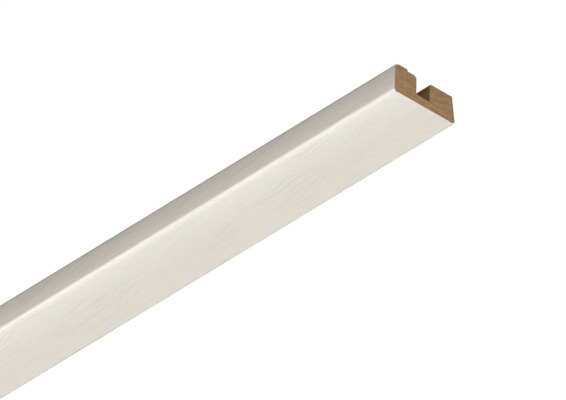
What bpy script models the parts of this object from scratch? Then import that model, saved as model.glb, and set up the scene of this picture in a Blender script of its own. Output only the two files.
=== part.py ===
"""Ceiling moulding: a milled fibreboard strip, wrapped in decor foil on its room side.

The strip hangs as it does in use: the wide face looks down into the room, the back looks up at
the ceiling, and only a narrow lip along the room side touches the ceiling. A groove along the back
takes the spring clips that hold the strip. +X runs along the strip, +Y from the room side to the
wall, +Z up, and the origin is on the lip, at the middle of the length. Sizes are in metres.
"""

import math

import bmesh
import bpy

# Overall sizes, over the foil
STRIP_LENGTH = 0.325
FACE_WIDTH = 0.040
STRIP_DEPTH = 0.0175

# Decor foil and the glue line under it
FOIL_THICKNESS = 0.00035
GLUE_GAP = 0.0003

# Rounded edges of the board, which the foil is wrapped around
LIP_CORNER_RADIUS = 0.00225
ROOM_EDGE_RADIUS = 0.00225
WALL_EDGE_RADIUS = 0.00185

# How far the foil reaches around the two outer edges before it ends
LIP_WRAP = math.radians(78)
WALL_WRAP = math.radians(66)

# The bare side leans away from the wall, so that the strip meets the wall at its lower edge
WALL_SIDE_LEAN = math.radians(8)

# The lip that stands proud of the back and touches the ceiling
LIP_WIDTH = 0.0084
LIP_HEIGHT = 0.0011
LIP_SLOPE_RUN = 0.00035

# Clip groove, placed from the room side
GROOVE_OFFSET = 0.0146
GROOVE_WIDTH = 0.0087
WEB_THICKNESS = 0.0059
GROOVE_FLOOR_RADIUS = 0.0007
ROOM_MOUTH_RADIUS = 0.0021
WALL_MOUTH_RADIUS = 0.0010
BACK_EDGE_RADIUS = 0.0003

# How finely arcs are faceted
ARC_STEP = math.radians(11.25)

QUARTER = math.pi / 2


def arc(centre, radius, start, end):
    """Points along an arc about centre, from the start angle to the end angle."""
    steps = max(2, round(abs(end - start) / ARC_STEP))
    angles = [start + (end - start) * i / steps for i in range(steps + 1)]
    return [(centre[0] + radius * math.cos(a), centre[1] + radius * math.sin(a)) for a in angles]


def rounded_corner(corner, radius, arriving, leaving):
    """The fillet of a corner between two straight edges, given by the directions of travel.

    A left turn is a convex corner, because the outline runs anticlockwise.
    """
    turn = (leaving - arriving + math.pi) % (2 * math.pi) - math.pi
    side = 1 if turn > 0 else -1
    setback = radius * math.tan(abs(turn) / 2)
    centre = (
        corner[0] - setback * math.cos(arriving) - side * radius * math.sin(arriving),
        corner[1] - setback * math.sin(arriving) + side * radius * math.cos(arriving),
    )
    start = arriving - side * QUARTER
    return arc(centre, radius, start, start + turn)


def wrapped_edges():
    """Centre and outer radius of the three rounded edges: the lip's corner, the room's, the wall's."""
    skin = FOIL_THICKNESS + GLUE_GAP
    lip_radius = LIP_CORNER_RADIUS + skin
    room_radius = ROOM_EDGE_RADIUS + skin
    wall_radius = WALL_EDGE_RADIUS + skin
    return (
        ((lip_radius, STRIP_DEPTH - lip_radius), lip_radius),
        ((room_radius, room_radius), room_radius),
        ((FACE_WIDTH - wall_radius, wall_radius), wall_radius),
    )


def foil_ends(past_end):
    """The angles at which the foil's run starts and ends, plus a length past each end."""
    lip, _, wall = wrapped_edges()
    return (
        2 * QUARTER - LIP_WRAP - past_end / lip[1],
        3 * QUARTER + WALL_WRAP + past_end / wall[1],
    )


def wrapped_path(above_board, past_end=0.0):
    """The path of the foil's run, the given height above the board's wrapped surface.

    It starts on the lip's rounded corner, goes down the room side, along the wide face and ends on
    the wall edge. Points are (across, up), from the corner of the overall section.
    """
    lip, room, wall = wrapped_edges()
    start, end = foil_ends(past_end)
    inset = FOIL_THICKNESS + GLUE_GAP - above_board
    return (
        arc(lip[0], lip[1] - inset, start, 2 * QUARTER)
        + arc(room[0], room[1] - inset, 2 * QUARTER, 3 * QUARTER)
        + arc(wall[0], wall[1] - inset, 3 * QUARTER, end)
    )


def foil_outline():
    """The foil's section: a thin skin around the room side, the wide face and three edges."""
    return wrapped_path(FOIL_THICKNESS + GLUE_GAP) + wrapped_path(GLUE_GAP)[::-1]


def board_outline():
    """The board's section, anticlockwise: its wrapped surface, the bare side, then the back.

    Where the foil ends, the board steps out to the foil's level and carries the edge on.
    """
    lip, _, wall = wrapped_edges()
    foil_start, foil_end = foil_ends(GLUE_GAP)
    up, down, across = QUARTER, -QUARTER, 2 * QUARTER
    leaning = up + WALL_SIDE_LEAN
    back = STRIP_DEPTH - LIP_HEIGHT
    wall_of_groove = GROOVE_OFFSET + GROOVE_WIDTH

    bare_wall_edge = arc(wall[0], wall[1], foil_end, 4 * QUARTER + WALL_SIDE_LEAN)
    side_foot = bare_wall_edge[-1]
    back_corner = (side_foot[0] - (back - side_foot[1]) * math.tan(WALL_SIDE_LEAN), back)

    outline = wrapped_path(0.0, GLUE_GAP) + bare_wall_edge
    outline += rounded_corner(back_corner, BACK_EDGE_RADIUS, leaning, across)
    outline += rounded_corner((wall_of_groove, back), WALL_MOUTH_RADIUS, across, down)
    outline += rounded_corner((wall_of_groove, WEB_THICKNESS), GROOVE_FLOOR_RADIUS, down, across)
    outline += rounded_corner((GROOVE_OFFSET, WEB_THICKNESS), GROOVE_FLOOR_RADIUS, across, up)
    outline += rounded_corner((GROOVE_OFFSET, back), ROOM_MOUTH_RADIUS, up, across)
    outline += [(LIP_WIDTH + LIP_SLOPE_RUN, back), (LIP_WIDTH, STRIP_DEPTH)]
    outline += arc(lip[0], lip[1], QUARTER, foil_start)
    return outline


def new_material(name, colour, roughness):
    material = bpy.data.materials.new(name)
    material.use_nodes = True
    shader = material.node_tree.nodes["Principled BSDF"]
    shader.inputs["Base Color"].default_value = (*colour, 1.0)
    shader.inputs["Roughness"].default_value = roughness
    shader.inputs["Metallic"].default_value = 0.0
    return material


def outline_curve(name, outline):
    """The section as a flat curve, thickened to the strip's length and turned to run along X."""
    curve = bpy.data.curves.new(name, "CURVE")
    curve.dimensions = "2D"
    curve.fill_mode = "BOTH"
    curve.extrude = STRIP_LENGTH / 2
    spline = curve.splines.new("POLY")
    spline.points.add(len(outline) - 1)
    for point, (across, up) in zip(spline.points, outline):
        point.co = (across, up, 0.0, 1.0)
    spline.use_cyclic_u = True
    section = bpy.data.objects.new(name, curve)
    lip_start = wrapped_edges()[0][1]
    middle_of_lip = (lip_start + LIP_WIDTH) / 2
    section.location = (0.0, -middle_of_lip, -STRIP_DEPTH)
    section.rotation_euler = (QUARTER, 0.0, QUARTER)
    return section


def extruded_piece(name, outline, material, collection, holder):
    """A closed mesh of the section along the whole strip, smooth around its rounded edges."""
    section = outline_curve(name + "_section", outline)
    collection.objects.link(section)
    bpy.context.view_layer.update()
    evaluated = section.evaluated_get(bpy.context.evaluated_depsgraph_get())
    mesh = bpy.data.meshes.new_from_object(evaluated)
    mesh.name = name
    welded = bmesh.new()
    welded.from_mesh(mesh)
    bmesh.ops.remove_doubles(welded, verts=welded.verts, dist=1e-6)
    bmesh.ops.recalc_face_normals(welded, faces=welded.faces)
    welded.to_mesh(mesh)
    welded.free()
    mesh.shade_smooth()
    mesh.set_sharp_from_angle(angle=math.radians(25))
    mesh.materials.clear()
    mesh.materials.append(material)

    piece = bpy.data.objects.new(name, mesh)
    piece.matrix_world = section.matrix_world.copy()
    collection.objects.link(piece)
    piece.parent = holder
    bpy.data.objects.remove(section)
    return piece


def build():
    for old in list(bpy.data.objects):
        bpy.data.objects.remove(old)

    moulding = bpy.data.collections.new("ceiling_moulding")
    bpy.context.scene.collection.children.link(moulding)
    ceiling_contact = bpy.data.objects.new("ceiling_contact", None)
    ceiling_contact.empty_display_size = FACE_WIDTH / 2
    moulding.objects.link(ceiling_contact)

    board = new_material("fibreboard", (0.33, 0.21, 0.11), 0.85)
    foil = new_material("ash_decor_foil", (0.76, 0.73, 0.65), 0.45)
    extruded_piece("fibreboard_core", board_outline(), board, moulding, ceiling_contact)
    extruded_piece("decor_foil", foil_outline(), foil, moulding, ceiling_contact)


build()
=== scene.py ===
# Ceiling moulding: a foil-wrapped fibreboard strip, seen from below at its square cut end.
# The board and the foil are modelled here in full and stand for the two nodes of the frame.

import math

import bmesh
import bpy
from mathutils import Matrix, Vector
from mathutils.kdtree import KDTree


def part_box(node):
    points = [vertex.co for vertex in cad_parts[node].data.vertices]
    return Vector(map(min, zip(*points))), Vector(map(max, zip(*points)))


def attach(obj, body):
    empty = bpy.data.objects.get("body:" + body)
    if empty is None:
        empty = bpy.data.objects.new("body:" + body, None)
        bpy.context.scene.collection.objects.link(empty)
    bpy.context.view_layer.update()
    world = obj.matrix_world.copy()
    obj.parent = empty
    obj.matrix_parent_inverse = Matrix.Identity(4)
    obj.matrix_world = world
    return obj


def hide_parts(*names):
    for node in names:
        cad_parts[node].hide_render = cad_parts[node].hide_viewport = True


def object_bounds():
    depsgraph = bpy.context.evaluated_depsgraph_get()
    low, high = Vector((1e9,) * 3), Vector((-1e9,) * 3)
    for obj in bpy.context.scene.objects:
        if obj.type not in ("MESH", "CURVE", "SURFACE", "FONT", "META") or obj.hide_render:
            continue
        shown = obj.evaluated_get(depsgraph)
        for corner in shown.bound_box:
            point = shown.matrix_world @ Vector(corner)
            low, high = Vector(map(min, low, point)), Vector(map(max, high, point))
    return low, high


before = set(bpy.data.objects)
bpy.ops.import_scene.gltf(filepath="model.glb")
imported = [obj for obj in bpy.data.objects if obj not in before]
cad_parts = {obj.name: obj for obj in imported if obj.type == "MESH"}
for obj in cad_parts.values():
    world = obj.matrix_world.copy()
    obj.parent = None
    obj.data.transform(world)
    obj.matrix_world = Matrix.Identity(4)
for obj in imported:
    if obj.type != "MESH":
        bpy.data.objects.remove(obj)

cadLow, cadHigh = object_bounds()
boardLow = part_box("fibreboard_core")[0]
print("frame loaded")

# The section, in metres and radians, measured across from the room side and up from the wide face
section = {
    "length": cadHigh.x - cadLow.x,
    "width": cadHigh.y - cadLow.y,
    "depth": cadHigh.z - cadLow.z,
    "skin": boardLow.y - cadLow.y,  # foil and glue together
    "lipCornerRadius": 0.0029,  # the three wrapped edges, over the foil
    "roomEdgeRadius": 0.0029,
    "wallEdgeRadius": 0.0025,
    "lipWrap": math.radians(78),  # how far the foil reaches around the two outer edges
    "wallWrap": math.radians(66),
    "glueGap": 0.0003,
    "wallLean": math.radians(8),
    "lipWidth": 0.0084,
    "lipHeight": 0.0011,
    "lipSlope": 0.00035,
    "grooveFrom": 0.0146,
    "grooveTo": 0.0233,
    "web": 0.0059,
    "grooveFloorRadius": 0.0007,
    "roomMouthRadius": 0.0021,
    "wallMouthRadius": 0.0010,
    "backEdgeRadius": 0.0003,
}
quarter = math.pi / 2
# The eased ends turn by 22.5 degrees a step. Smoothing over them would tilt the light along the whole strip.
smoothUnder = math.radians(20)


def onSection(across, up, along=0.0):
    return Vector((along, cadLow.y + across, cadLow.z + up))


lipCentre = onSection(section["lipCornerRadius"], section["depth"] - section["lipCornerRadius"])
roomCentre = onSection(section["roomEdgeRadius"], section["roomEdgeRadius"])
wallCentre = onSection(section["width"] - section["wallEdgeRadius"], section["wallEdgeRadius"])

# how far foil and glue cover the board's two outer edges, past which the board carries the edge on
lipCovered = section["lipWrap"] + section["glueGap"] / section["lipCornerRadius"]
wallCovered = section["wallWrap"] + section["glueGap"] / section["wallEdgeRadius"]


# Small helpers around the operators

def startClean():
    if bpy.context.object and bpy.context.object.mode != "OBJECT":
        bpy.ops.object.mode_set(mode="OBJECT")
    bpy.ops.object.select_all(action="DESELECT")


def pickEdges(obj, place):  # the edges on the lengthwise line through this place
    reach = 0.00002
    mesh = bmesh.from_edit_mesh(obj.data)
    bpy.ops.mesh.select_mode(type="EDGE")
    bpy.ops.mesh.select_all(action="DESELECT")
    for edge in mesh.edges:
        if all(math.hypot(end.co.y - place.y, end.co.z - place.z) < reach for end in edge.verts):
            edge.select_set(True)
    bmesh.update_edit_mesh(obj.data)


def pickFaces(obj, test):
    mesh = bmesh.from_edit_mesh(obj.data)
    bpy.ops.mesh.select_mode(type="FACE")
    bpy.ops.mesh.select_all(action="DESELECT")
    for face in mesh.faces:
        if test(face):
            face.select_set(True)
    bmesh.update_edit_mesh(obj.data)


def spinAbout(centre, angle, steps):  # in the section's plane, anticlockwise as seen from the cut end
    bpy.ops.mesh.spin(steps=steps, angle=angle, center=centre, axis=(-1.0, 0.0, 0.0))


def applyAll(obj):
    for modifier in list(obj.modifiers):
        bpy.ops.object.modifier_apply(modifier=modifier.name)


def settle(obj):  # the object goes to the origin, with its place in its mesh
    bpy.ops.object.transform_apply(location=True, rotation=True, scale=True)
    bpy.ops.object.shade_smooth_by_angle(angle=smoothUnder)
    obj.select_set(False)


# Shader helpers that the board's and the foil's finishes share

def newGroup(name, inputs, masks):
    group = bpy.data.node_groups.new(name, "ShaderNodeTree")
    for label, kind, value in inputs:
        socket = group.interface.new_socket(name=label, in_out="INPUT", socket_type=kind)
        if value is not None:
            socket.default_value = value
    for label in masks:
        group.interface.new_socket(name=label, in_out="OUTPUT", socket_type="NodeSocketFloat")
    start = group.nodes.new("NodeGroupInput")
    end = group.nodes.new("NodeGroupOutput")
    return group, start, end


def feed(tree, socket, value):  # a number or a colour is set, and another node's socket is linked
    if isinstance(value, (int, float, tuple)):
        socket.default_value = value
    else:
        tree.links.new(value, socket)


def mathNode(tree, operation, *values):
    node = tree.nodes.new("ShaderNodeMath")
    node.operation = operation
    for socket, value in zip(node.inputs, values):
        feed(tree, socket, value)
    return node.outputs[0]


def noiseNode(tree, vector, scale, detail=2.0, roughness=0.5):
    node = tree.nodes.new("ShaderNodeTexNoise")
    feed(tree, node.inputs["Vector"], vector)
    feed(tree, node.inputs["Scale"], scale)
    node.inputs["Detail"].default_value = detail
    node.inputs["Roughness"].default_value = roughness
    return node.outputs["Fac"]


def stretched(tree, vector, scale=(1.0, 1.0, 1.0), shift=(0.0, 0.0, 0.0)):
    node = tree.nodes.new("ShaderNodeMapping")
    feed(tree, node.inputs["Vector"], vector)
    node.inputs["Scale"].default_value = scale
    node.inputs["Location"].default_value = shift
    return node.outputs["Vector"]


def drawnOutNoise(tree, vector, scale, detail=2.0, roughness=0.5):  # with its own scale in each direction
    return noiseNode(tree, stretched(tree, vector, scale), 1.0, detail, roughness)


def separate(tree, vector):
    node = tree.nodes.new("ShaderNodeSeparateXYZ")
    tree.links.new(vector, node.inputs[0])
    return node.outputs


def attributeMask(tree, name):
    node = tree.nodes.new("ShaderNodeAttribute")
    node.attribute_name = name
    return node.outputs["Fac"]


def ramped(tree, value, low, high, toLow=0.0, toHigh=1.0):
    node = tree.nodes.new("ShaderNodeMapRange")
    node.interpolation_type = "SMOOTHSTEP"
    node.inputs["From Min"].default_value = low
    node.inputs["From Max"].default_value = high
    node.inputs["To Min"].default_value = toLow
    node.inputs["To Max"].default_value = toHigh
    tree.links.new(value, node.inputs["Value"])
    return node.outputs["Result"]


def mixColours(tree, mask, first, second):  # the first where the mask is 0, the second where it is 1
    node = tree.nodes.new("ShaderNodeMix")
    node.data_type = "RGBA"
    for index, value in ((0, mask), (6, first), (7, second)):
        feed(tree, node.inputs[index], value)
    return node.outputs[2]


def tinted(tree, mask, strength, colour, tint):
    return mixColours(tree, mathNode(tree, "MULTIPLY", mask, strength), colour, tint)


def surfaceMaterial(name, roughness, specular=0.5):
    material = bpy.data.materials.new(name)
    material.use_nodes = True
    tree = material.node_tree
    shader = tree.nodes["Principled BSDF"]
    shader.inputs["Roughness"].default_value = roughness
    shader.inputs["Specular IOR Level"].default_value = specular
    return material, tree, shader


def bumpOn(tree, shader, height, strength, distance):
    node = tree.nodes.new("ShaderNodeBump")
    node.inputs["Strength"].default_value = strength
    node.inputs["Distance"].default_value = distance
    tree.links.new(height, node.inputs["Height"])
    tree.links.new(node.outputs["Normal"], shader.inputs["Normal"])


# Pressed wood fibres: a mottle of clumps, pale flecks and dark flecks, for every bare board face

def fibresGroup():
    group, start, end = newGroup(
        "pressedFibres",
        [("Vector", "NodeSocketVector", None), ("Clump Scale", "NodeSocketFloat", 900.0)],
        ("Clumps", "Pale Flecks", "Dark Flecks"),
    )
    vector, clumpScale = start.outputs["Vector"], start.outputs["Clump Scale"]
    group.links.new(noiseNode(group, vector, clumpScale, 4.0, 0.6), end.inputs["Clumps"])
    # flecks are finer than clumps, and each kind is shifted so that pale and dark don't coincide
    finer = mathNode(group, "MULTIPLY", clumpScale, 2.7)
    for label, shift in (("Pale Flecks", (0.31, 0.0, 0.0)), ("Dark Flecks", (0.0, 0.53, 0.2))):
        fleck = noiseNode(group, stretched(group, vector, shift=shift), finer, 1.5)
        group.links.new(ramped(group, fleck, 0.56, 0.72), end.inputs[label])
    return group


pressedFibres = fibresGroup()
print("shader groups ready")

# Fibreboard core: the section is drawn stroke by stroke, filled, drawn out to the strip's length and eased

board = {
    "wideSteps": 10,
    "tightSteps": 5,
    "tightUpTo": 0.001,  # the largest radius that gets the fewer steps
    "endEase": 0.00012,  # how far the saw's edge is worn round
    "gridPitch": 0.0005,
    "reliefDepth": 0.00009,
    "reliefSize": 0.0009,
    "rimWidth": 0.0009,
    "glueSoak": 0.00034,  # how far the foil's glue shows up the sawn end
    "glueBlend": 0.0001,
    "sawnBrown": (0.352, 0.208, 0.096, 1.0),
    "milledBrown": (0.448, 0.276, 0.108, 1.0),
    "paleFibre": (0.560, 0.370, 0.195, 1.0),
    "darkFibre": (0.135, 0.070, 0.024, 1.0),
    "glueTone": (0.930, 0.830, 0.690, 1.0),
    "rimGrey": (0.215, 0.165, 0.118, 1.0),
    "sawnClumps": 850.0,
    "milledClumps": 700.0,
    "cutterDrag": 0.25,  # the cutter draws the milled faces' fibres out along the strip
    "layerScale": (60.0, 150.0, 480.0),  # the pressed layers lie flat
    "clumpRange": (0.35, 0.65),
    "layerRange": (0.38, 0.62),
    "clumpStrength": 0.38,
    "layerStrength": 0.34,
    "fleckStrength": 0.5,
    "rimStrength": 0.8,
    "roughness": 0.85,
    "specular": 0.25,
    "bumpStrength": 0.5,
    "bumpDepth": 0.0002,
}


def boardFinish(name, sawn):
    material, tree, shader = surfaceMaterial(name, board["roughness"], board["specular"])
    coords = tree.nodes.new("ShaderNodeTexCoord").outputs["Object"]
    fibres = tree.nodes.new("ShaderNodeGroup")
    fibres.node_tree = pressedFibres
    fibres.inputs["Clump Scale"].default_value = board["sawnClumps" if sawn else "milledClumps"]
    drag = 1.0 if sawn else board["cutterDrag"]
    tree.links.new(stretched(tree, coords, (drag, 1.0, 1.0)), fibres.inputs["Vector"])
    clumps = ramped(tree, fibres.outputs["Clumps"], *board["clumpRange"])
    layers = ramped(tree, drawnOutNoise(tree, coords, board["layerScale"], 2.5, 0.6), *board["layerRange"])
    colour = board["sawnBrown" if sawn else "milledBrown"]
    for mask, strength, tint in (
        (clumps, "clumpStrength", "paleFibre"),
        (layers, "layerStrength", "darkFibre"),
        (fibres.outputs["Pale Flecks"], "fleckStrength", "paleFibre"),
        (fibres.outputs["Dark Flecks"], "fleckStrength", "darkFibre"),
    ):
        colour = tinted(tree, mask, board[strength], colour, board[tint])
    if sawn:
        colour = tinted(tree, attributeMask(tree, "rim"), board["rimStrength"], colour, board["rimGrey"])
        glueTop, blend = cadLow.z + section["skin"] + board["glueSoak"], board["glueBlend"]
        glued = ramped(tree, separate(tree, coords)["Z"], glueTop - blend, glueTop + blend, 1.0, 0.0)
        colour = mixColours(tree, glued, colour, board["glueTone"])
    tree.links.new(colour, shader.inputs["Base Color"])
    bumpOn(tree, shader, fibres.outputs["Clumps"], board["bumpStrength"], board["bumpDepth"])
    return material


def penPoint(obj):  # where the last stroke ended
    return next(point for point in bmesh.from_edit_mesh(obj.data).verts if point.select).co.copy()


def drawTo(obj, place):  # a straight stroke of the outline
    stroke = place - penPoint(obj)
    bpy.ops.mesh.extrude_vertices_move(TRANSFORM_OT_translate={"value": (0.0, stroke.y, stroke.z)})


def drawCorner(obj, corner, radius, towards):  # straight on to the corner, then around it
    arriving = corner - penPoint(obj)
    leaving = towards - corner
    arriving.x = leaving.x = 0.0
    arriving.normalize()
    leaving.normalize()
    turn = math.atan2(arriving.y * leaving.z - arriving.z * leaving.y, arriving.dot(leaving))
    side = math.copysign(radius, turn)
    start = corner - arriving * radius * math.tan(abs(turn) / 2)
    drawTo(obj, start)
    centre = start + Vector((0.0, -arriving.z, arriving.y)) * side
    spinAbout(centre, turn, board["tightSteps" if radius <= board["tightUpTo"] else "wideSteps"])


def drawBoardOutline(core):
    depth, skin, web = section["depth"], section["skin"], section["web"]
    lip, wall, lean = section["lipCornerRadius"], section["wallEdgeRadius"], section["wallLean"]
    back = depth - section["lipHeight"]
    grooveFrom, grooveTo = section["grooveFrom"], section["grooveTo"]
    steps = board["wideSteps"]

    # under the foil: lip corner, room edge and wall edge
    spinAbout(lipCentre, lipCovered, steps)
    faceEnd = onSection(section["width"], skin)
    drawCorner(core, onSection(skin, skin), section["roomEdgeRadius"] - skin, faceEnd)
    drawTo(core, wallCentre + Vector((0.0, 0.0, skin - wall)))
    spinAbout(wallCentre, wallCovered, steps)

    # out to the foil's level, around the bare edge, up the leaning side and along the back and its groove
    outward = (penPoint(core) - wallCentre) * (wall / (wall - skin))
    drawTo(core, wallCentre + outward)
    spinAbout(wallCentre, quarter + lean - wallCovered, board["tightSteps"])
    foot = penPoint(core)
    rise = cadLow.z + back - foot.z
    backCorner = Vector((0.0, foot.y - rise * math.tan(lean), foot.z + rise))
    corners = (
        (backCorner, section["backEdgeRadius"]),
        (onSection(grooveTo, back), section["wallMouthRadius"]),
        (onSection(grooveTo, web), section["grooveFloorRadius"]),
        (onSection(grooveFrom, web), section["grooveFloorRadius"]),
        (onSection(grooveFrom, back), section["roomMouthRadius"]),
        (onSection(section["lipWidth"] + section["lipSlope"], back), 0.0),
    )
    for (corner, radius), (towards, _) in zip(corners, corners[1:]):
        drawCorner(core, corner, radius, towards)

    # along the back to the lip, up its slope, along its flat and around the bare part of its corner
    drawTo(core, corners[-1][0])
    drawTo(core, onSection(section["lipWidth"], depth))
    drawTo(core, lipCentre + Vector((0.0, 0.0, lip)))
    spinAbout(lipCentre, quarter - lipCovered, board["tightSteps"])


def onEnd(face):
    return abs(face.normal.x) > 0.99


def makeBoard():
    # a point where the lip's corner comes out from under the foil, at the far end
    underFoil = section["lipCornerRadius"] - section["skin"]
    start = lipCentre + Vector((0.0, -math.cos(lipCovered), math.sin(lipCovered))) * underFoil
    start.x = cadLow.x
    startClean()
    bpy.ops.mesh.primitive_plane_add(size=0.001, location=start)
    core = bpy.context.object
    core.name = "fibreboardCore"
    bpy.ops.object.transform_apply(location=True)
    bpy.ops.object.mode_set(mode="EDIT")
    bpy.ops.mesh.merge(type="CENTER")
    drawBoardOutline(core)

    # the outline filled, drawn out to the strip's length and worn round at the saw's edges
    bpy.ops.mesh.select_all(action="SELECT")
    bpy.ops.mesh.edge_face_add()
    bpy.ops.mesh.extrude_region_move(TRANSFORM_OT_translate={"value": (section["length"], 0.0, 0.0)})
    bpy.ops.mesh.select_all(action="SELECT")
    bpy.ops.mesh.normals_make_consistent(inside=False)
    pickFaces(core, onEnd)
    bpy.ops.mesh.region_to_loop()
    bpy.ops.mesh.bevel(offset=board["endEase"], offset_type="OFFSET", segments=2, affect="EDGES")

    # a fine grid on both ends, which carries the torn fibres
    pitch = board["gridPitch"]
    for normal, span in (((0, 1, 0), section["width"]), ((0, 0, 1), section["depth"])):
        for step in range(1, int(span / pitch)):
            pickFaces(core, onEnd)
            place = onSection(step * pitch, step * pitch)
            bpy.ops.mesh.bisect(plane_co=place, plane_no=normal, threshold=1e-6)
    bpy.ops.object.mode_set(mode="OBJECT")

    markRim(core)
    roughenEnds(core)
    core.data.materials.append(boardFinish("milledBoard", False))
    core.data.materials.append(boardFinish("sawnBoard", True))
    for face in core.data.polygons:  # the outer half of the eased edge is sawn too
        face.material_index = 1 if abs(face.normal.x) > 0.7 else 0
    settle(core)
    return core


def endVertices(core):
    ends = [face for face in core.data.polygons if onEnd(face)]
    inner = {index for face in ends for index in face.vertices}
    outer = {index for face in core.data.polygons if not onEnd(face) for index in face.vertices}
    return ends, inner, inner & outer


def markRim(core):
    # how close each corner of an end face is to the section's outline, from 1 at it to 0 well inside
    ends, inner, outline = endVertices(core)
    tree = KDTree(len(outline))
    for index in outline:
        tree.insert(core.data.vertices[index].co, index)
    tree.balance()
    distance = {index: tree.find(core.data.vertices[index].co)[2] for index in inner}
    rim = core.data.attributes.new("rim", "FLOAT", "CORNER")
    for face in ends:
        for loop in face.loop_indices:
            index = core.data.loops[loop].vertex_index
            rim.data[loop].value = max(0.0, 1.0 - distance[index] / board["rimWidth"])
    inside = core.vertex_groups.new(name="tornFibres")
    for index, gap in distance.items():
        inside.add([index], min(1.0, gap / board["rimWidth"]), "REPLACE")


def roughenEnds(core):
    fibres = bpy.data.textures.new("tornFibres", "CLOUDS")
    fibres.noise_scale = board["reliefSize"]
    fibres.noise_depth = 3
    displace = core.modifiers.new("tornFibres", "DISPLACE")
    displace.texture = fibres
    displace.texture_coords = "LOCAL"
    displace.direction = "NORMAL"
    displace.mid_level = 1.0  # fibres are torn out and never stand proud of the end
    displace.strength = board["reliefDepth"]
    displace.vertex_group = "tornFibres"
    applyAll(core)
    core.vertex_groups.clear()


core = makeBoard()
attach(core, "root")
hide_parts("fibreboard_core")
print("fibreboard core made:", len(core.data.polygons), "faces")

# Decor foil: the wide face's sheet, spun and drawn around the room side and the wall edge

foil = {
    "arcSteps": 14,
    "clearance": 0.00003,  # between the glue and the board
    "edgeEase": 0.0001,
    "tone": (0.770, 0.749, 0.670, 1.0),
    "warmTone": (0.798, 0.741, 0.667, 1.0),
    "vein": (0.640, 0.600, 0.520, 1.0),
    "roughness": 0.26,
    "lines": {
        "perMetre": 470.0,
        "slant": 28.0,  # how far they drift across the strip for each metre along it, in lines
        "sweep": 12.0,  # how far long soft waves push them across, in lines
        "sweepScale": (15.0, 30.0, 1.0),
        "profile": (0.03, 0.30),  # from a line's dark middle to its clear edge
        "breaksPerMetre": 26.0,
        "breakRange": (0.36, 0.62),
        "patchScale": (18.0, 70.0, 1.0),
        "patchRange": (0.36, 0.60),
        "strength": 0.50,
        "extraOnSide": 0.6,  # they show more clearly up the room side
    },
    "pores": {
        "scale": (210.0, 1500.0, 1.0),
        "range": (0.52, 0.75),
        "strength": 0.52,
        "bump": 0.15,
        "depth": 0.00005,
    },
    "shade": {"scale": (22.0, 160.0, 1.0), "range": (0.3, 0.7), "strength": 0.08},
    "warmth": {
        "scale": (40.0, 75.0, 1.0),
        "range": (0.38, 0.62),
        "strength": 0.6,
        "onSide": 0.45,
        "towardsWall": 0.4,
        "wallRun": (0.02, 0.05),  # where along the wrap it grows towards the wall
    },
    "sideRun": (0.0155, 0.0210),  # where along the wrap the room side gives way to the wide face
    "paper": (0.980, 0.920, 0.820, 1.0),
    "glue": (0.930, 0.850, 0.720, 1.0),
    "shadedPaper": (0.500, 0.430, 0.340, 1.0),  # painted shade: the cut edge up the room side is darker, as it faces away from the lights
    "paintedShadeRun": (0.0012, 0.0030),  # where across the strip the painted shade gives way to the edge's own colour
    "streaks": {"scale": 1400.0, "range": (0.4, 0.7), "strength": 0.2},
    "glueRange": (0.6, 1.0),  # from paper to glue, as shares of the skin
    "edgeRoughness": 0.7,
    "edgeSpecular": 0.3,
}


def unrolled(place):
    # how far a point lies along the wrap, from the top of the lip, and how deep under the foil's face
    lip, room, wall = section["lipCornerRadius"], section["roomEdgeRadius"], section["wallEdgeRadius"]
    sideStart = lip * quarter
    roomStart = sideStart + lipCentre.z - roomCentre.z
    faceStart = roomStart + room * quarter
    wallStart = faceStart + wallCentre.y - roomCentre.y
    onRoomEdge = place.y < roomCentre.y and place.z < roomCentre.z
    for centre, radius, begins, turnAtStart, runs in (
        (lipCentre, lip, 0.0, -quarter, place.z > lipCentre.z),
        (roomCentre, room, roomStart, 0.0, onRoomEdge),
        (wallCentre, wall, wallStart, quarter, place.y > wallCentre.y),
    ):
        if runs:
            y, z = place.y - centre.y, place.z - centre.z
            turned = math.atan2(-z, -y) - turnAtStart
            return begins + radius * turned, radius - math.hypot(y, z)
    if place.y < roomCentre.y:
        return sideStart + lipCentre.z - place.z, place.y - cadLow.y
    return faceStart + place.y - roomCentre.y, place.z - cadLow.z


def growthLines(tree, coords, alongStrip, aroundWrap, onSide):
    # even steps across the strip, drawn out along it and pushed about by long soft waves
    grain = foil["lines"]
    waves = drawnOutNoise(tree, coords, grain["sweepScale"], 2.0, 0.45)
    field = mathNode(tree, "MULTIPLY", aroundWrap, grain["perMetre"])
    field = mathNode(tree, "MULTIPLY_ADD", alongStrip, grain["slant"], field)
    field = mathNode(tree, "MULTIPLY_ADD", waves, grain["sweep"], field)
    lines = ramped(tree, mathNode(tree, "PINGPONG", field, 0.5), *grain["profile"], 1.0, 0.0)

    # each line breaks off and starts again by itself, and they gather in patches
    eachLine = tree.nodes.new("ShaderNodeCombineXYZ")
    tree.links.new(mathNode(tree, "MULTIPLY", alongStrip, grain["breaksPerMetre"]), eachLine.inputs[0])
    tree.links.new(mathNode(tree, "MULTIPLY", field, 0.8), eachLine.inputs[1])
    breaks = ramped(tree, noiseNode(tree, eachLine.outputs[0], 1.0, 1.5), *grain["breakRange"])
    patches = ramped(tree, drawnOutNoise(tree, coords, grain["patchScale"], 1.0), *grain["patchRange"])
    clearer = mathNode(tree, "MULTIPLY_ADD", onSide, grain["extraOnSide"], 1.0)
    for mask in (breaks, patches, clearer):
        lines = mathNode(tree, "MULTIPLY", lines, mask)
    return lines


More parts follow.
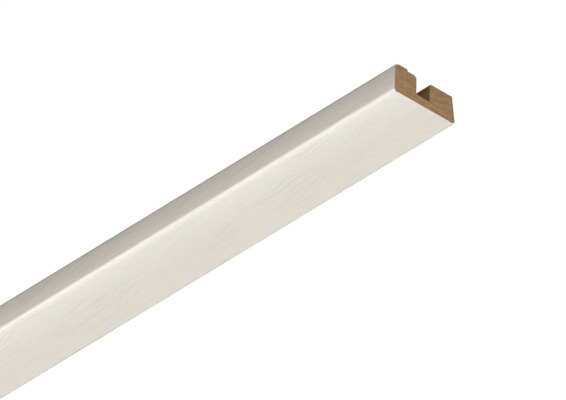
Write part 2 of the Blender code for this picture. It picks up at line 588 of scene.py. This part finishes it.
def foilPrint():
    material, tree, shader = surfaceMaterial("ashPrintFoil", foil["roughness"])
    uv = tree.nodes.new("ShaderNodeUVMap")
    uv.uv_map = "unrolled"
    coords = uv.outputs["UV"]
    parts = separate(tree, coords)
    alongStrip, aroundWrap = parts["X"], parts["Y"]
    onSide = ramped(tree, aroundWrap, *foil["sideRun"], 1.0, 0.0)

    # the ground's slow drift from cool to warm
    warmth = foil["warmth"]
    towardsWall = ramped(tree, aroundWrap, *warmth["wallRun"], 0.0, warmth["towardsWall"])
    warm = ramped(tree, drawnOutNoise(tree, coords, warmth["scale"], 1.0), *warmth["range"])
    warm = mathNode(tree, "MULTIPLY_ADD", warm, warmth["strength"], towardsWall)
    warm = mathNode(tree, "MULTIPLY_ADD", onSide, warmth["onSide"], warm)
    colour = mixColours(tree, warm, foil["tone"], foil["warmTone"])

    # growth lines, short pores that follow the strip, and broad soft shading
    lines = growthLines(tree, coords, alongStrip, aroundWrap, onSide)
    pores, shade = (
        ramped(tree, drawnOutNoise(tree, coords, kind["scale"]), *kind["range"])
        for kind in (foil["pores"], foil["shade"])
    )
    for mask, kind in ((lines, "lines"), (pores, "pores"), (shade, "shade")):
        colour = tinted(tree, mask, foil[kind]["strength"], colour, foil["vein"])
    tree.links.new(colour, shader.inputs["Base Color"])
    sunken = mathNode(tree, "MULTIPLY", pores, -1.0)
    bumpOn(tree, shader, sunken, foil["pores"]["bump"], foil["pores"]["depth"])
    return material


def foilEdge():
    material, tree, shader = surfaceMaterial("foilCutEdge", foil["edgeRoughness"], foil["edgeSpecular"])
    coords = tree.nodes.new("ShaderNodeTexCoord").outputs["Object"]
    # the mask for the painted shade on the cut edge up the room side
    shadedTo, unshadedFrom = (cadLow.y + across for across in foil["paintedShadeRun"])
    onSide = ramped(tree, separate(tree, coords)["Y"], shadedTo, unshadedFrom, 1.0, 0.0)
    streaks = foil["streaks"]
    streak = ramped(tree, noiseNode(tree, coords, streaks["scale"]), *streaks["range"])
    depth = mathNode(tree, "MULTIPLY_ADD", streak, streaks["strength"], attributeMask(tree, "layer"))
    colour = mixColours(tree, ramped(tree, depth, *foil["glueRange"]), foil["paper"], foil["glue"])
    # painted shade: the cut edge is darker up the room side, which faces away from the lights
    colour = mixColours(tree, onSide, colour, foil["shadedPaper"])
    tree.links.new(colour, shader.inputs["Base Color"])
    return material


def makeFoil():
    # the wide face lies flat between its two rounded edges
    startClean()
    width = wallCentre.y - roomCentre.y
    middle = Vector((0.0, (wallCentre.y + roomCentre.y) / 2, cadLow.z))
    bpy.ops.mesh.primitive_plane_add(size=1.0, location=middle)
    sheet = bpy.context.object
    sheet.name = "decorFoil"
    sheet.scale = (section["length"], width, 1.0)
    bpy.ops.object.transform_apply(location=True, scale=True)
    bpy.ops.object.mode_set(mode="EDIT")
    steps = foil["arcSteps"]

    # around the room edge, up the room side and over the lip's corner
    pickEdges(sheet, onSection(section["roomEdgeRadius"], 0.0))
    spinAbout(roomCentre, -quarter, steps)
    pickEdges(sheet, onSection(0.0, section["roomEdgeRadius"]))
    bpy.ops.mesh.extrude_edges_move(
        TRANSFORM_OT_translate={"value": (0.0, 0.0, lipCentre.z - roomCentre.z)})
    pickEdges(sheet, onSection(0.0, section["depth"] - section["lipCornerRadius"]))
    spinAbout(lipCentre, -section["lipWrap"], steps)

    # around the wall edge
    pickEdges(sheet, onSection(section["width"] - section["wallEdgeRadius"], 0.0))
    spinAbout(wallCentre, section["wallWrap"], steps)
    bpy.ops.mesh.select_all(action="SELECT")
    bpy.ops.mesh.remove_doubles(threshold=1e-6)
    bpy.ops.mesh.normals_make_consistent(inside=False)
    bpy.ops.object.mode_set(mode="OBJECT")
    if sheet.data.polygons[0].normal.z > 0:
        sheet.data.flip_normals()

    thicken = sheet.modifiers.new("thicken", "SOLIDIFY")
    thicken.thickness = section["skin"] - foil["clearance"]
    thicken.offset = -1.0
    thicken.use_even_offset = True
    thicken.material_offset = 1  # the inside and the cut edges show paper and glue
    thicken.material_offset_rim = 1
    sheet.data.materials.append(foilPrint())
    sheet.data.materials.append(foilEdge())
    ease = sheet.modifiers.new("ease", "BEVEL")
    ease.width = foil["edgeEase"]
    ease.segments = 2
    ease.limit_method = "ANGLE"
    ease.angle_limit = math.radians(50)
    applyAll(sheet)

    unwrap = sheet.data.uv_layers.new(name="unrolled")
    layer = sheet.data.attributes.new("layer", "FLOAT", "POINT")
    for loop in sheet.data.loops:
        place = sheet.data.vertices[loop.vertex_index].co
        along, under = unrolled(place)
        unwrap.data[loop.index].uv = (place.x, along)
        layer.data[loop.vertex_index].value = under / section["skin"]
    settle(sheet)
    return sheet


foilSheet = makeFoil()
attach(foilSheet, "root")
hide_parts("decor_foil")
print("decor foil made:", len(foilSheet.data.polygons), "faces")

# Studio: a pale floor below the camera, soft lights, and a surround that looks white but lights little

studio = {
    "floorDrop": 7.0,
    "floorSize": 30.0,
    "floorTone": (0.82, 0.82, 0.81, 1.0),
    "floorRoughness": 0.8,
    "surroundTone": (1.0, 1.0, 1.0, 1.0),
    "surroundLight": 0.03,
    "aim": (0.05, 0.014, -0.0085),  # what the panels face
    "stripLength": 1.6,
    "strips": (
        # name, turn in degrees from the room side down and under, distance, centre across the strip,
        # width, power, whether it glints
        ("roomStrip", 40.0, 0.05, 0.0, 0.012, 0.133, True),
        ("edgeStrip", 50.0, 0.05, 0.0, 0.012, 0.078, True),
        ("faceStrip", 75.0, 0.05, 0.0, 0.012, 0.151, False),
        ("wallStrip", 115.0, 0.06, 0.034, 0.030, 0.390, False),
    ),
    "panels": (
        # name, place, size, power
        ("roomPanelHigh", (-3.6, -4.79, -0.01), (3.0, 1.0), 81.0),
        ("roomPanelLow", (-3.6, -4.37, -2.00), (3.0, 1.8), 52.0),
        ("endPanel", (5.5, 0.0, 0.0), (3.0, 3.0), 110.0),
        ("backPanel", (0.0, 3.55, 3.53), (8.0, 3.0), 200.0),
    ),
}


def areaLight(name, place, size, power, target, glints=True):  # its long side runs along the moulding
    data = bpy.data.lights.new(name, "AREA")
    data.shape = "RECTANGLE"
    data.size, data.size_y = size
    data.energy = power
    back = (Vector(place) - target).normalized()
    right = Vector((1.0, 0.0, 0.0)) - back * back.x
    if right.length < 0.2:  # a light off the end of the moulding has its long side across it
        right = Vector((0.0, 1.0, 0.0)) - back * back.y
    right.normalize()
    lamp = bpy.data.objects.new(name, data)
    lamp.location = place
    lamp.rotation_euler = Matrix((right, back.cross(right), back)).transposed().to_euler()
    lamp.visible_camera = False
    lamp.visible_glossy = glints
    bpy.context.scene.collection.objects.link(lamp)


def makeStudio():
    startClean()
    bpy.ops.mesh.primitive_plane_add(size=studio["floorSize"], location=(0.0, 0.0, -studio["floorDrop"]))
    floor = bpy.context.object
    floor.name = "studioFloor"
    material, _, shader = surfaceMaterial("paleFloor", studio["floorRoughness"])
    shader.inputs["Base Color"].default_value = studio["floorTone"]
    floor.data.materials.append(material)

    aim = Vector(studio["aim"])
    for name, place, size, power in studio["panels"]:
        areaLight(name, place, size, power, aim)
    for name, degrees, distance, middle, width, power, glints in studio["strips"]:
        turn = math.radians(degrees)
        heart = Vector((0.0, middle, aim.z))
        place = heart + Vector((0.0, -math.cos(turn), -math.sin(turn))) * distance
        areaLight(name, place, (studio["stripLength"], width), power, heart, glints)

    world = bpy.data.worlds.new("surround")
    world.use_nodes = True
    bpy.context.scene.world = world
    tree = world.node_tree
    seen = tree.nodes["Background"]
    lit = tree.nodes.new("ShaderNodeBackground")
    for background in (seen, lit):
        background.inputs["Color"].default_value = studio["surroundTone"]
    lit.inputs["Strength"].default_value = studio["surroundLight"]
    path = tree.nodes.new("ShaderNodeLightPath")
    both = tree.nodes.new("ShaderNodeMixShader")
    tree.links.new(path.outputs["Is Camera Ray"], both.inputs[0])
    tree.links.new(lit.outputs[0], both.inputs[1])
    tree.links.new(seen.outputs[0], both.inputs[2])
    tree.links.new(both.outputs[0], tree.nodes["World Output"].inputs["Surface"])
    bpy.context.scene.view_settings.view_transform = "Standard"


makeStudio()
print("studio ready")

# Camera: a very long lens, because the photograph shows the long edges all but parallel

camera = {
    "azimuth": math.radians(47.57),
    "elevation": math.radians(-35.79),
    "roll": math.radians(1.346),
    "lens": 1200.0,
    "sensor": 36.0,
    "clip": (0.5, 40.0),
    "pictureSize": (566, 400),
    # where the cut end's lower corner on the room side would be, if it were sharp
    "cornerPixel": (394.11, 91.46),
    "pixelsPerMetre": 2089.0,
}


def makeCamera():
    azimuth, elevation = camera["azimuth"], camera["elevation"]
    level = math.cos(elevation)
    back = Vector((math.sin(azimuth) * level, -math.cos(azimuth) * level, math.sin(elevation)))
    upright = (Vector((0.0, 0.0, 1.0)) - back * back.z).normalized()
    sideways = upright.cross(back)
    roll = camera["roll"]
    right = sideways * math.cos(roll) + upright * math.sin(roll)
    up = upright * math.cos(roll) - sideways * math.sin(roll)
    width, height = camera["pictureSize"]
    distance = camera["lens"] / camera["sensor"] * width / camera["pixelsPerMetre"]
    corner = onSection(0.0, 0.0, cadHigh.x)
    pixelX, pixelY = camera["cornerPixel"]
    aside = (pixelX - width / 2) / camera["pixelsPerMetre"]
    above = (height / 2 - pixelY) / camera["pixelsPerMetre"]

    data = bpy.data.cameras.new("longLens")
    data.lens = camera["lens"]
    data.sensor_width = camera["sensor"]
    data.clip_start, data.clip_end = camera["clip"]
    viewer = bpy.data.objects.new("longLens", data)
    viewer.location = corner - right * aside - up * above + back * distance
    viewer.rotation_mode = "QUATERNION"
    viewer.rotation_quaternion = Matrix((right, up, back)).transposed().to_quaternion()
    bpy.context.scene.collection.objects.link(viewer)
    bpy.context.scene.camera = viewer


makeCamera()
print("camera placed")
